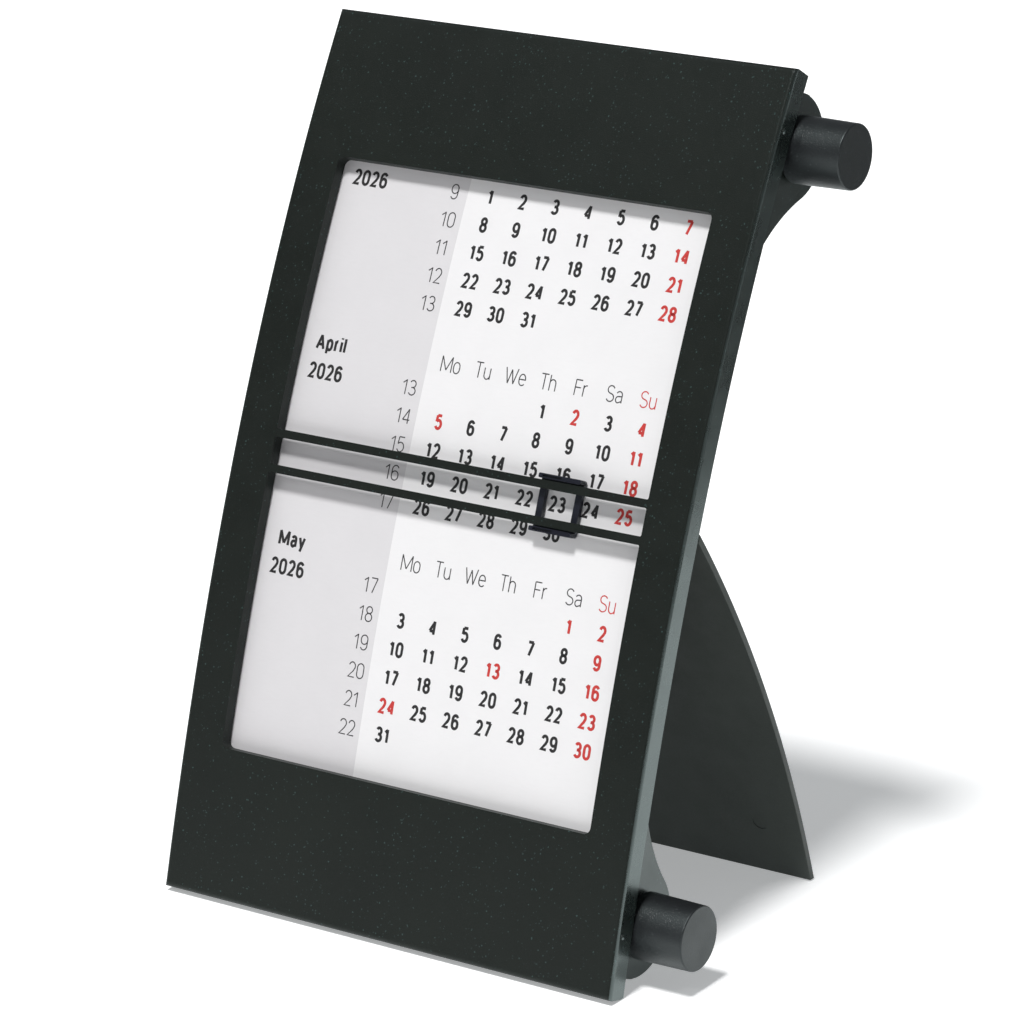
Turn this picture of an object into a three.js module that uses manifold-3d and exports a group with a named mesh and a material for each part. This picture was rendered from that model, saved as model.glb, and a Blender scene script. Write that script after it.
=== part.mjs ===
// Roll calendar for a desk: a curved front frame over a paper strip that winds between two rollers,
// each turned by a knob at the right, with a sliding date marker and a folding stand leg behind.
// Millimetres, +Z up, the front faces -Y, the knobs are at +X.
import * as THREE from 'three';
import { mergeVertices } from 'three/addons/utils/BufferGeometryUtils.js';
import Module from 'manifold-3d';

const wasm = await Module();
wasm.setup();

// ---- Driving dimensions ----------------------------------------------------------------------

// Front surface: height is measured along it (0 at the foot), depth is measured square into it.
const FRAME_HEIGHT = 190;
const FRAME_WIDTH = 113;
const FRAME_DEPTH = 5.1;
const LEAN_AT_FOOT = 15;        // degrees back from upright
const LEAN_AT_CREST = 31;
const LEAN_BIAS = 0.28;         // 0 is one even arc, more bends the upper half harder
const FOOT_LAND_CUT = 0.3;      // height trimmed off the back edge of the foot, where it stands

const PLATE = 1.6;              // front plate
const WALL = 1.5;               // side, top and bottom walls
const CREST_RADIUS = 0.9;       // rounding where the front meets the sides
const GAP = 0.3;                // clearance between pieces that touch or run on each other

const WINDOW_WIDTH = 92.8;
const WINDOW_HEIGHT = 126.6;
const WINDOW_RADIUS = 1.5;
const REVEAL = 1.2;             // thickness of the wall round the window
const REVEAL_DEPTH = 2.8;

const RAIL_HEIGHT = 1.75;
const RAIL_PITCH = 7.5;         // between the middles of the two rails
const RAIL_FRONT = 0.1;
const RAIL_BACK = 1.4;

const STRIP_WIDTH = 102;
const STRIP_FRONT = 3.1;
const STRIP_THICK = 0.3;

const WEB_FRONT = 3.8;          // back shell's flat wall behind the strip

const LOWER_INSET = 14.3;       // lower roller's axis above the frame's foot
const UPPER_INSET = 13.5;       // upper roller's axis below the frame's crest
const ROLLER_DEPTH = 12.4;
const HOUSING_RADIUS = 11.3;
const HOUSING_WALL = 1.5;
const HOUSING_FILLET = 40;      // hollow curve from the housing to the flat wall
const EAR_INSET = 2.9;          // the ears stand this far inside the frame's sides

const KNOB_RADIUS = 7;
const KNOB_END_RADIUS = 6.8;
const KNOB_LENGTH = 13.7;
const KNOB_GAP = 0.4;           // between the ear and the knob
const KNOB_BASE_ROUND = 0.9;
const KNOB_BEVEL = 0.35;
const KNOB_BORE_DEPTH = 9;

const JOURNAL_RADIUS = 2.3;
const DRIVE_RADIUS = 5.5;       // spindle's hexagonal plug and the left spigot, inside the core
const DRIVE_LENGTH = 7;
const CORE_RADIUS = 7.3;
const CORE_BORE = 5.9;
const CORE_SLOT = 0.8;
const COIL_RADIUS_UPPER = 8.3;  // months already wound on
const COIL_RADIUS_LOWER = 8.6;  // months still to come
const WASHER_RADIUS = 7.3;
const WASHER_THICK = 0.9;

const MARKER_X = 24.8;
const MARKER_WIDTH = 10.2;
const MARKER_BAR = 1.5;
const MARKER_FRONT = 1.7;
const MARKER_BACK = 2.7;
const MARKER_HOOK = 1;
const MARKER_HOOK_FRONT = 0.2;

const LEG_THICK = 1.5;
const LEG_TOP = [34, 90];       // outer face where it meets the frame's back, y and z
const LEG_FOOT = [78.3, -0.3];
const LEG_SAGITTA = 4.3;
const HINGE_SPACING = 38;       // each hinge from the middle
const HINGE_FROM_TOP = 4.6;     // along the leg
const BARREL_RADIUS = 2.5;
const PIN_RADIUS = 1;
const KNUCKLE = 4.8;
const LUG = 3;

const NUB_RADIUS = 0.6;
const NUB_DEPTH = 1.6;
const NUB_FROM_END = 13;

const STEP = 6.5;               // length of one facet along the curved front
const ROUND_SEGMENTS = 40;
const HOUSING_SEGMENTS = 64;
const BARREL_SEGMENTS = 24;
const SWEEP_SLICES = 64;        // steps when summing along the curved front
const OVERCUT = 2;              // how far a cutting block runs past the face it opens
const FAR = 30;                 // further back than any piece of the shell

const HALF = FRAME_WIDTH / 2;
const SIDE = HALF - WALL;       // inside of the frame's side walls
const SHELL_HALF = SIDE - GAP;  // the part of the shell that sits inside the frame
const EAR_HALF = HALF - EAR_INSET;
const CHEEK_INNER = EAR_HALF - WALL;
const CHEEK_DRAFT = 0.1;
const CHEEK_FACE = CHEEK_INNER + CHEEK_DRAFT;   // the cheeks are thinner in front of the axis
const KNOB_X = EAR_HALF + KNOB_GAP;
const LOWER_S = LOWER_INSET;
const UPPER_S = FRAME_HEIGHT - UPPER_INSET;
const MIDDLE_S = FRAME_HEIGHT / 2;

// ---- Curved frame of reference ------------------------------------------------------------------

// Lean of the front surface at height s along it, in radians.
function lean(s) {
  const t = s / FRAME_HEIGHT;
  const share = (1 - LEAN_BIAS) * t + LEAN_BIAS * t * t;
  return THREE.MathUtils.degToRad(LEAN_AT_FOOT + (LEAN_AT_CREST - LEAN_AT_FOOT) * share);
}

// Point of the front surface at height s, as [y, z], summed along the curve.
function front(s) {
  let y = 0;
  let z = FRAME_DEPTH * Math.sin(lean(0)) - FOOT_LAND_CUT;
  for (let i = 0; i < SWEEP_SLICES; i += 1) {
    const angle = lean((s * (i + 0.5)) / SWEEP_SLICES);
    y += (Math.sin(angle) * s) / SWEEP_SLICES;
    z += (Math.cos(angle) * s) / SWEEP_SLICES;
  }
  return [y, z];
}

// Point at height s and depth d behind the front surface, as [y, z].
function place(s, d) {
  const [y, z] = front(s);
  return [y + d * Math.cos(lean(s)), z - d * Math.sin(lean(s))];
}

const lowerAxis = place(LOWER_S, ROLLER_DEPTH);
const upperAxis = place(UPPER_S, ROLLER_DEPTH);

// The origin is under the middle of the whole object's box, which the foot's front edge, the
// knobs, the left side and the upper housing bound.
const CENTRE_X = (KNOB_X + KNOB_LENGTH - HALF) / 2;
const CENTRE_Y = (upperAxis[0] + HOUSING_RADIUS) / 2;

class FrontCurve extends THREE.Curve {
  constructor(from, to) {
    super();
    this.from = from;
    this.to = to;
  }

  getPoint(t, target = new THREE.Vector3()) {
    const [y, z] = front(this.from + (this.to - this.from) * t);
    return target.set(0, y, z);
  }

  getTangent(t, target = new THREE.Vector3()) {
    const angle = lean(this.from + (this.to - this.from) * t);
    return target.set(0, Math.sin(angle), Math.cos(angle));
  }
}

// ---- Solids ------------------------------------------------------------------------------------

function solid(geometry) {
  geometry.deleteAttribute('normal');
  geometry.deleteAttribute('uv');
  const merged = mergeVertices(geometry, 1e-4);
  return new wasm.Manifold(new wasm.Mesh({
    numProp: 3,
    vertProperties: new Float32Array(merged.attributes.position.array),
    triVerts: new Uint32Array(merged.index.array),
  }));
}

function join(...solids) {
  return solids.reduce((sum, next) => sum.add(next));
}

function cut(body, ...tools) {
  return tools.reduce((left, tool) => left.subtract(tool), body);
}

// A section of [x, depth] corners carried along the front surface from height s0 to s1.
function sweep(section, s0, s1) {
  const shape = new THREE.Shape(section.map(([x, d]) => new THREE.Vector2(-x, -d)));
  return solid(new THREE.ExtrudeGeometry(shape, {
    steps: Math.max(1, Math.ceil((s1 - s0) / STEP)),
    extrudePath: new FrontCurve(s0, s1),
  }));
}

function slab(x0, x1, d0, d1, s0, s1) {
  return sweep([[x0, d0], [x1, d0], [x1, d1], [x0, d1]], s0, s1);
}

// An outline in y and z carried straight along X.
function prism(shape, x0, x1) {
  const geometry = new THREE.ExtrudeGeometry(shape, {
    depth: x1 - x0, bevelEnabled: false, curveSegments: ROUND_SEGMENTS,
  });
  geometry.applyMatrix4(new THREE.Matrix4().makeBasis(
    new THREE.Vector3(0, 1, 0), new THREE.Vector3(0, 0, 1), new THREE.Vector3(1, 0, 0),
  ));
  geometry.translate(x0, 0, 0);
  return solid(geometry);
}

function polygon(points) {
  return new THREE.Shape(points.map(([y, z]) => new THREE.Vector2(y, z)));
}

// A round bar along X about the point [y, z].
function bar([y, z], radius, x0, x1, sides = ROUND_SEGMENTS) {
  const geometry = new THREE.CylinderGeometry(radius, radius, x1 - x0, sides);
  geometry.rotateZ(Math.PI / 2);
  geometry.translate((x0 + x1) / 2, y, z);
  return solid(geometry);
}

// A turned piece: [x, radius] corners spun about X, on an axis through [y, z].
function turned(profile, [y, z]) {
  const points = profile.map(([x, radius]) => new THREE.Vector2(radius, x));
  const geometry = new THREE.LatheGeometry(points, ROUND_SEGMENTS);
  geometry.rotateZ(-Math.PI / 2);
  geometry.translate(0, y, z);
  return solid(geometry);
}

const material = (color, roughness, metalness = 0) => (
  new THREE.MeshStandardMaterial({ color, roughness, metalness })
);
const MATERIALS = {
  housing: material(0x2b302d, 0.42),
  leg: material(0x2a2f2c, 0.5),
  knob: material(0x2c2c30, 0.55),
  marker: material(0x1c1d28, 0.35),
  paper: material(0xf0f0f1, 0.9),
  spindle: material(0x35353a, 0.5),
  core: material(0xd8d8d4, 0.6),
  felt: material(0x55565a, 1),
  steel: material(0xb8bac0, 0.3, 1),
};

const calendar = new THREE.Group();
calendar.position.set(-CENTRE_X, -CENTRE_Y, 0);

function add(name, body, look) {
  const { vertProperties, triVerts } = body.getMesh();
  const geometry = new THREE.BufferGeometry();
  geometry.setAttribute('position', new THREE.BufferAttribute(vertProperties, 3));
  geometry.setIndex(new THREE.BufferAttribute(triVerts, 1));
  geometry.computeVertexNormals();
  const mesh = new THREE.Mesh(geometry, MATERIALS[look]);
  mesh.name = name;
  calendar.add(mesh);
}

// ---- Front frame ---------------------------------------------------------------------------------

// The frame's outer block, its two front edges rounded.
function frameBlock() {
  const corner = (side) => {
    const points = [];
    const arcSteps = 3;
    for (let i = 0; i <= arcSteps; i += 1) {
      const angle = (i / arcSteps) * (Math.PI / 2);
      points.push([
        side * (HALF - CREST_RADIUS + CREST_RADIUS * Math.cos(angle)),
        CREST_RADIUS - CREST_RADIUS * Math.sin(angle),
      ]);
    }
    return points;
  };
  return sweep([
    [HALF, FRAME_DEPTH], ...corner(1), ...corner(-1).reverse(), [-HALF, FRAME_DEPTH],
  ], 0, FRAME_HEIGHT);
}

// A block as wide and high as the window plus a margin, its corners trimmed to a small radius.
function windowBlock(margin, d0, d1) {
  const w = WINDOW_WIDTH / 2 + margin;
  const h = WINDOW_HEIGHT / 2 + margin;
  const trim = 0.6;             // share of the radius that keeps the two-block corner inside it
  const r = WINDOW_RADIUS * trim;
  return join(
    slab(-w + r, w - r, d0, d1, MIDDLE_S - h, MIDDLE_S + h),
    slab(-w, w, d0, d1, MIDDLE_S - h + r, MIDDLE_S + h - r),
  );
}

function windowRails() {
  const reach = WINDOW_WIDTH / 2 + REVEAL / 2;
  return [-1, 1].map((side) => {
    const middle = MIDDLE_S + (side * RAIL_PITCH) / 2;
    const [low, high] = [middle - RAIL_HEIGHT / 2, middle + RAIL_HEIGHT / 2];
    return slab(-reach, reach, RAIL_FRONT, RAIL_BACK, low, high);
  });
}

// Small domes on the right side wall, sunk by a fifth of their radius.
function sideNubs() {
  const sunk = 0.2 * NUB_RADIUS;
  return [NUB_FROM_END, FRAME_HEIGHT - NUB_FROM_END].map((s) => {
    const [y, z] = place(s, NUB_DEPTH);
    const nub = new THREE.SphereGeometry(NUB_RADIUS, 12, 8);
    nub.translate(HALF - sunk, y, z);
    return solid(nub);
  });
}

// Everything under the ground plane, to trim the foot edges flat.
function ground() {
  const thickness = 20;
  const block = new THREE.BoxGeometry(2 * FRAME_WIDTH, 2 * FRAME_WIDTH, thickness);
  block.translate(0, CENTRE_Y, -thickness / 2);
  return solid(block);
}

function frontFrame() {
  const behind = FRAME_DEPTH + OVERCUT;
  const hollow = slab(-SIDE, SIDE, PLATE, behind, WALL, FRAME_HEIGHT - WALL);
  const reveal = windowBlock(REVEAL, 0, REVEAL_DEPTH);
  const opened = cut(frameBlock(), cut(hollow, reveal), windowBlock(0, -OVERCUT, behind), ground());
  return join(opened, ...windowRails(), ...sideNubs());
}

add('front_frame', frontFrame(), 'housing');

// ---- Back shell ----------------------------------------------------------------------------------

// Wedge that carries the flat wall out to the round housing in one hollow curve. It lies towards
// the middle of the frame from the housing at height s: side is 1 below the middle, -1 above it.
function filletWedge(s, side, x0, x1) {
  const reach = HOUSING_RADIUS + HOUSING_FILLET;
  const behind = FRAME_DEPTH + HOUSING_FILLET - ROLLER_DEPTH;
  const along = Math.sqrt(reach ** 2 - behind ** 2);
  const centre = [s + side * along, FRAME_DEPTH + HOUSING_FILLET];
  const touch = Math.atan2(behind, along);
  const points = [];
  const arcSteps = 8;
  for (let i = 0; i <= arcSteps; i += 1) {
    const angle = touch + (Math.PI / 2 - touch) * (i / arcSteps);
    points.push([
      centre[0] - side * HOUSING_FILLET * Math.cos(angle),
      centre[1] - HOUSING_FILLET * Math.sin(angle),
    ]);
  }
  points.push([centre[0], WEB_FRONT + GAP], [s, WEB_FRONT + GAP], [s, ROLLER_DEPTH]);
  return prism(polygon(points.map(([height, d]) => place(height, d))), x0, x1);
}

// Leg's outer arc, used by the leg and by the hinge that carries it.
const legChord = new THREE.Vector2(LEG_FOOT[0] - LEG_TOP[0], LEG_FOOT[1] - LEG_TOP[1]);
const legRadius = (legChord.lengthSq() / 4 + LEG_SAGITTA ** 2) / (2 * LEG_SAGITTA);
const legOutward = new THREE.Vector2(-legChord.y, legChord.x).normalize();
const legCentre = [
  (LEG_TOP[0] + LEG_FOOT[0]) / 2 - legOutward.x * (legRadius - LEG_SAGITTA),
  (LEG_TOP[1] + LEG_FOOT[1]) / 2 - legOutward.y * (legRadius - LEG_SAGITTA),
];
const legTopAngle = Math.atan2(LEG_TOP[1] - legCentre[1], LEG_TOP[0] - legCentre[0]);
const legFootAngle = Math.atan2(LEG_FOOT[1] - legCentre[1], LEG_FOOT[0] - legCentre[0]);

// Point on the leg, distance along it from its top, inset from its outer face.
function onLeg(distance, inset) {
  const angle = legTopAngle - distance / legRadius;
  const radius = legRadius - inset;
  return [legCentre[0] + radius * Math.cos(angle), legCentre[1] + radius * Math.sin(angle)];
}

const hingeAxis = onLeg(HINGE_FROM_TOP, LEG_THICK / 2);
const hingeHalf = KNUCKLE / 2 + GAP + LUG;

// Height along the front of the hinge axis, found by halving.
function heightOf([y, z]) {
  let low = 0;
  let high = FRAME_HEIGHT;
  const halvings = 40;
  for (let i = 0; i < halvings; i += 1) {
    const s = (low + high) / 2;
    const [fy, fz] = front(s);
    const ahead = (y - fy) * Math.sin(lean(s)) + (z - fz) * Math.cos(lean(s));
    [low, high] = ahead > 0 ? [s, high] : [low, s];
  }
  return (low + high) / 2;
}

const hingeS = heightOf(hingeAxis);

// Two lugs that hold one hinge pin, standing off the back wall.
function hingeLugs(middle) {
  const along = [Math.sin(lean(hingeS)), Math.cos(lean(hingeS))];
  const beside = (side) => hingeAxis.map((value, i) => value + side * BARREL_RADIUS * along[i]);
  const root = polygon([
    place(hingeS - BARREL_RADIUS, WEB_FRONT + GAP),
    place(hingeS + BARREL_RADIUS + 1, WEB_FRONT + GAP),
    beside(1),
    beside(-1),
  ]);
  return [-1, 1].map((side) => {
    const x = middle + side * (KNUCKLE / 2 + GAP + LUG / 2);
    const ends = [x - LUG / 2, x + LUG / 2];
    return join(prism(root, ...ends), bar(hingeAxis, BARREL_RADIUS, ...ends, BARREL_SEGMENTS));
  });
}

const SHELL_END = WALL + GAP;   // the shell keeps this far inside the frame's foot and crest
const AXES = [lowerAxis, upperAxis];

// The two round housings and the hollow wedges beside them, behind the strip.
function housings() {
  const behind = slab(-HALF, HALF, WEB_FRONT + GAP, FAR, -SHELL_END, FRAME_HEIGHT + SHELL_END);
  const tubes = AXES.map((axis) => (
    bar(axis, HOUSING_RADIUS, -EAR_HALF, EAR_HALF, HOUSING_SEGMENTS)
  ));
  const wedges = [[LOWER_S, 1], [UPPER_S, -1]].map(([s, side]) => (
    filletWedge(s, side, -EAR_HALF, EAR_HALF)
  ));
  return join(...tubes, ...wedges).intersect(behind);
}

// The cheeks that close each housing's ends, reaching forward beside the strip.
function cheeks() {
  const inside = slab(
    -EAR_HALF, EAR_HALF, PLATE + GAP, ROLLER_DEPTH, SHELL_END, FRAME_HEIGHT - SHELL_END,
  );
  return AXES.flatMap((axis) => [[-HALF, -CHEEK_FACE], [CHEEK_FACE, HALF]].map(([x0, x1]) => (
    bar(axis, HOUSING_RADIUS, x0, x1, HOUSING_SEGMENTS).intersect(inside)
  )));
}

function backShell() {
  const web = slab(
    -SHELL_HALF, SHELL_HALF, WEB_FRONT, FRAME_DEPTH, SHELL_END, FRAME_HEIGHT - SHELL_END,
  );
  const cavities = AXES.map((axis) => (
    bar(axis, HOUSING_RADIUS - HOUSING_WALL, -CHEEK_INNER, CHEEK_INNER, HOUSING_SEGMENTS)
  ));
  const spigotRoot = -CHEEK_INNER - WALL / 2;
  const spigots = AXES.map((axis) => (
    bar(axis, DRIVE_RADIUS, spigotRoot, DRIVE_LENGTH - CHEEK_INNER, BARREL_SEGMENTS)
  ));
  const bearings = AXES.map((axis) => (
    bar(axis, JOURNAL_RADIUS + GAP, CHEEK_INNER - 1, HALF + 1)
  ));
  const lugs = [-HINGE_SPACING, HINGE_SPACING].flatMap(hingeLugs);
  const pinHole = bar(hingeAxis, PIN_RADIUS + GAP, -HALF, HALF, BARREL_SEGMENTS);
  const walls = cut(join(housings(), web, ...cheeks()), ...cavities);
  return cut(join(walls, ...spigots, ...lugs), ...bearings, pinHole);
}

add('back_shell', backShell(), 'housing');

// ---- Paper strip and date marker -----------------------------------------------------------------

// The strip runs from roller to roller and stops where it would bend onto each coil.
add('paper_strip', slab(
  -STRIP_WIDTH / 2, STRIP_WIDTH / 2, STRIP_FRONT, STRIP_FRONT + STRIP_THICK, LOWER_S, UPPER_S,
), 'paper');

// A small frame behind the two rails, hooked over the upper one and under the lower one.
function dateMarker() {
  const railEdge = RAIL_PITCH / 2 + RAIL_HEIGHT / 2 + GAP;
  const outer = railEdge + MARKER_HOOK;
  const inner = RAIL_PITCH / 2 - RAIL_HEIGHT / 2 + GAP;
  const [x0, x1] = [MARKER_X - MARKER_WIDTH / 2, MARKER_X + MARKER_WIDTH / 2];
  const [hole0, hole1] = [x0 + MARKER_BAR, x1 - MARKER_BAR];
  const [front0, back1] = [MARKER_FRONT - OVERCUT, MARKER_BACK + OVERCUT];
  const body = cut(
    slab(x0, x1, MARKER_FRONT, MARKER_BACK, MIDDLE_S - outer, MIDDLE_S + outer),
    slab(hole0, hole1, front0, back1, MIDDLE_S - inner, MIDDLE_S + inner),
  );
  const hookBack = (MARKER_FRONT + MARKER_BACK) / 2;
  const hooks = [[railEdge, outer], [-outer, -railEdge]].map(([low, high]) => (
    slab(x0, x1, MARKER_HOOK_FRONT, hookBack, MIDDLE_S + low, MIDDLE_S + high)
  ));
  return join(body, ...hooks);
}

add('date_marker', dateMarker(), 'marker');

// ---- Rollers -------------------------------------------------------------------------------------

function knob(axis) {
  const end = KNOB_X + KNOB_LENGTH;
  const bore = JOURNAL_RADIUS + GAP;
  const roundMiddle = 0.25 * KNOB_BASE_ROUND;
  return turned([
    [KNOB_X + KNOB_BORE_DEPTH, 0],
    [KNOB_X + KNOB_BORE_DEPTH, bore],
    [KNOB_X, bore],
    [KNOB_X, KNOB_RADIUS - KNOB_BASE_ROUND],
    [KNOB_X + roundMiddle, KNOB_RADIUS - roundMiddle],
    [KNOB_X + KNOB_BASE_ROUND, KNOB_RADIUS],
    [end - KNOB_BEVEL, KNOB_END_RADIUS],
    [end, KNOB_END_RADIUS - KNOB_BEVEL],
    [end, 0],
  ], axis);
}

// A hexagonal plug in the core, a journal in the right ear and a shank in the knob's bore.
function spindle(axis) {
  const shoulder = CHEEK_INNER - GAP;
  return join(
    bar(axis, JOURNAL_RADIUS, shoulder - 1, KNOB_X + KNOB_BORE_DEPTH - GAP),
    bar(axis, DRIVE_RADIUS, shoulder - WASHER_THICK - DRIVE_LENGTH, shoulder, 6),
  );
}

function core(axis) {
  const [x0, x1] = [-CHEEK_INNER + GAP, CHEEK_INNER - WASHER_THICK - 2 * GAP];
  const tube = cut(bar(axis, CORE_RADIUS, x0, x1), bar(axis, CORE_BORE, x0 - 1, x1 + 1));
  const slot = new THREE.BoxGeometry(STRIP_WIDTH, 2 * CORE_RADIUS, CORE_SLOT);
  slot.translate(0, axis[0] + CORE_RADIUS, axis[1]);
  return cut(tube, solid(slot));
}

function coil(axis, radius) {
  const half = STRIP_WIDTH / 2;
  return cut(bar(axis, radius, -half, half), bar(axis, CORE_RADIUS + GAP, -half - 1, half + 1));
}

function washer(axis) {
  const [x0, x1] = [CHEEK_INNER - GAP - WASHER_THICK, CHEEK_INNER - GAP];
  return cut(bar(axis, WASHER_RADIUS, x0, x1), bar(axis, CORE_BORE, x0 - 1, x1 + 1));
}

const ROLLERS = [
  { name: 'upper', axis: upperAxis, coilRadius: COIL_RADIUS_UPPER },
  { name: 'lower', axis: lowerAxis, coilRadius: COIL_RADIUS_LOWER },
];
for (const { name, axis, coilRadius } of ROLLERS) {
  add(`${name}_knob`, knob(axis), 'knob');
  add(`${name}_spindle`, spindle(axis), 'spindle');
  add(`${name}_core`, core(axis), 'core');
  add(`${name}_coil`, coil(axis, coilRadius), 'paper');
  add(`${name}_friction_washer`, washer(axis), 'felt');
}

// ---- Stand leg -----------------------------------------------------------------------------------

// Closed outline of the leg between two distances along it, thick as given about its middle.
function legOutline(from, to, thick) {
  const inset = (LEG_THICK - thick) / 2;
  const steps = Math.max(2, Math.ceil((to - from) / STEP));
  const outer = [];
  const inner = [];
  for (let i = 0; i <= steps; i += 1) {
    const distance = from + ((to - from) * i) / steps;
    outer.push(onLeg(distance, inset));
    inner.unshift(onLeg(distance, inset + thick));
  }
  return polygon([...outer, ...inner]);
}

// The barrel and root that join the leg to one hinge pin.
function knuckle(x) {
  const ends = [x - KNUCKLE / 2, x + KNUCKLE / 2];
  const root = legOutline(
    HINGE_FROM_TOP, HINGE_FROM_TOP + BARREL_RADIUS + OVERCUT, 2 * LEG_THICK - GAP,
  );
  const barrel = bar(hingeAxis, BARREL_RADIUS, ...ends, BARREL_SEGMENTS);
  const pinHole = bar(hingeAxis, PIN_RADIUS + GAP, x - KNUCKLE, x + KNUCKLE, BARREL_SEGMENTS);
  return cut(join(barrel, prism(root, ...ends)), pinHole);
}

function standLeg() {
  const length = (legTopAngle - legFootAngle) * legRadius;
  const sheet = prism(legOutline(-HINGE_FROM_TOP, length + OVERCUT, LEG_THICK), -HALF, HALF);
  const stations = [-HINGE_SPACING, HINGE_SPACING];
  const room = hingeHalf + 2 * GAP;
  const notchFoot = HINGE_FROM_TOP + BARREL_RADIUS + 2 * GAP;
  const notches = stations.map((x) => (
    prism(legOutline(-2 * HINGE_FROM_TOP, notchFoot, 4 * LEG_THICK), x - room, x + room)
  ));
  const frameSpace = slab(
    -HALF - 1, HALF + 1, -FRAME_DEPTH, FRAME_DEPTH + GAP, hingeS - FAR, hingeS + FAR,
  );
  return cut(join(cut(sheet, ...notches, frameSpace), ...stations.map(knuckle)), ground());
}

add('stand_leg', standLeg(), 'leg');

for (const [name, side] of [['left', -1], ['right', 1]]) {
  const x = side * HINGE_SPACING;
  const pin = bar(hingeAxis, PIN_RADIUS, x - hingeHalf, x + hingeHalf, BARREL_SEGMENTS);
  add(`hinge_pin_${name}`, pin, 'steel');
}

export default calendar;
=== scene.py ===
"""Roll calendar for a desk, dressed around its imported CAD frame.

Shapes are worked out in millimetres and turned into metres as the last step of each piece. Two
spaces are used: the flat pattern (x across, depth behind the front surface, height along it), which
bend() wraps onto the curved front, and the row frame itself (x, y, z).
"""
import math

import bmesh
import bpy
import numpy as np
from mathutils import Matrix, Vector

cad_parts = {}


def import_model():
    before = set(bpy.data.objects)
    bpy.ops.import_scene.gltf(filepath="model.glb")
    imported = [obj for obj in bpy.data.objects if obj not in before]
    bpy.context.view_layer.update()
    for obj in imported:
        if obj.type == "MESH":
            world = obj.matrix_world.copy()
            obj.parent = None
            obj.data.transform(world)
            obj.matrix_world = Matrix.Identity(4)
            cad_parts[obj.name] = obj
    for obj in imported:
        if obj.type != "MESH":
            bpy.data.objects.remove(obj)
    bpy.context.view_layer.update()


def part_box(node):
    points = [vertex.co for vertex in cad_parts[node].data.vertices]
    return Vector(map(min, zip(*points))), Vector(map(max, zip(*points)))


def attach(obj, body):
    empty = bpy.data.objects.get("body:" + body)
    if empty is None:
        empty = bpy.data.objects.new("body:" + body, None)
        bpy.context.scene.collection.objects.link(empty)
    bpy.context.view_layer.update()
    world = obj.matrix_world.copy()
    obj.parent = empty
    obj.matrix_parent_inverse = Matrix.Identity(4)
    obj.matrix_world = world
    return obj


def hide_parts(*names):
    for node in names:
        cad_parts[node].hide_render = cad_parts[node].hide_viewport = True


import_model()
MM = 0.001

# ---- Driving dimensions, in millimetres and degrees -------------------------------------------

HEIGHT, WIDTH, DEPTH = 190, 113, 5.1        # the curved front frame
LEAN_AT_FOOT, LEAN_AT_CREST, LEAN_BIAS = 15, 31, 0.28
FOOT_LAND_CUT = 0.3
PLATE, WALL, CREST_RADIUS, GAP = 1.6, 1.5, 0.9, 0.3
WINDOW_WIDTH, WINDOW_HEIGHT, WINDOW_RADIUS, RAIL_CORNER = 92.8, 126.6, 1.5, 0.35
REVEAL, REVEAL_DEPTH = 1.2, 2.8
RAIL_HEIGHT, RAIL_PITCH, RAIL_BACK = 1.75, 7.5, 1.4
STRIP_WIDTH, STRIP_FRONT, STRIP_THICK = 102, 3.1, 0.3
WEB_FRONT = 3.8
LOWER_INSET, UPPER_INSET, ROLLER_DEPTH = 14.3, 13.5, 12.4
HOUSING_RADIUS, HOUSING_WALL, HOUSING_FILLET, EAR_INSET = 11.3, 1.5, 40, 2.9
FILLET_SEARCH = 20, 60, 0.01                 # where the fillet may end: from, to and step
KNOB_BORE_DEPTH, KNOB_BASE_ROUND, KNOB_BEVEL, KNOB_TAPER = 9, 0.9, 0.35, 0.2
JOURNAL_RADIUS, DRIVE_RADIUS, DRIVE_LENGTH = 2.3, 5.5, 7
CORE_BORE, CORE_SLOT = 5.9, 0.8
COIL_SHEET, COIL_PITCH = 0.16, 0.24
NUB_RADIUS, NUB_DEPTH, NUB_FROM_END = 0.6, 1.6, 13
MARKER_WIDTH, MARKER_BAR, MARKER_FRONT, MARKER_BACK = 10.2, 1.5, 1.7, 2.7
MARKER_HOOK, MARKER_HOOK_FRONT = 1, 0.2
SLOT_FROM_SIDE, SLOT_LENGTH, SLOT_HEIGHT, SLOT_RISE = 0.9, 4.7, 0.45, 0.3   # grooves on its hooks
LEG_THICK, LEG_SAGITTA, LEG_TRIM = 1.5, 4.3, 30
EJECTOR_RADIUS, EJECTOR_DEPTH, EJECTOR_FROM_SIDE, EJECTOR_FROM_FOOT = 1.8, 0.08, 10, 14
LEG_TOP, LEG_FOOT = (34, 90), (78.3, -0.3)   # y from the frame's foot, z from the ground
HINGE_SPACING, HINGE_FROM_TOP, BARREL_RADIUS, PIN_RADIUS, KNUCKLE, LUG = 38, 4.6, 2.5, 1, 4.8, 3

HALF = WIDTH / 2
SIDE = HALF - WALL
SHELL_HALF = SIDE - GAP
EAR_HALF = HALF - EAR_INSET
CHEEK_INNER = EAR_HALF - WALL
LOWER_S, UPPER_S, MIDDLE_S = LOWER_INSET, HEIGHT - UPPER_INSET, HEIGHT / 2
FACET = 2.5                                  # length of one facet along the curved front
SLIVER = 0.02                                # keeps faces of joined solids from coinciding
OVERCUT = 2                                  # how far a cutting tool reaches past what it cuts
MOULD_EDGE = 0.22                            # rounding of ordinary moulded edges


def box_mm(node):
    low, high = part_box(node)
    return low / MM, high / MM


def centre_mm(node):
    low, high = box_mm(node)
    return (low + high) / 2


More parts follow.
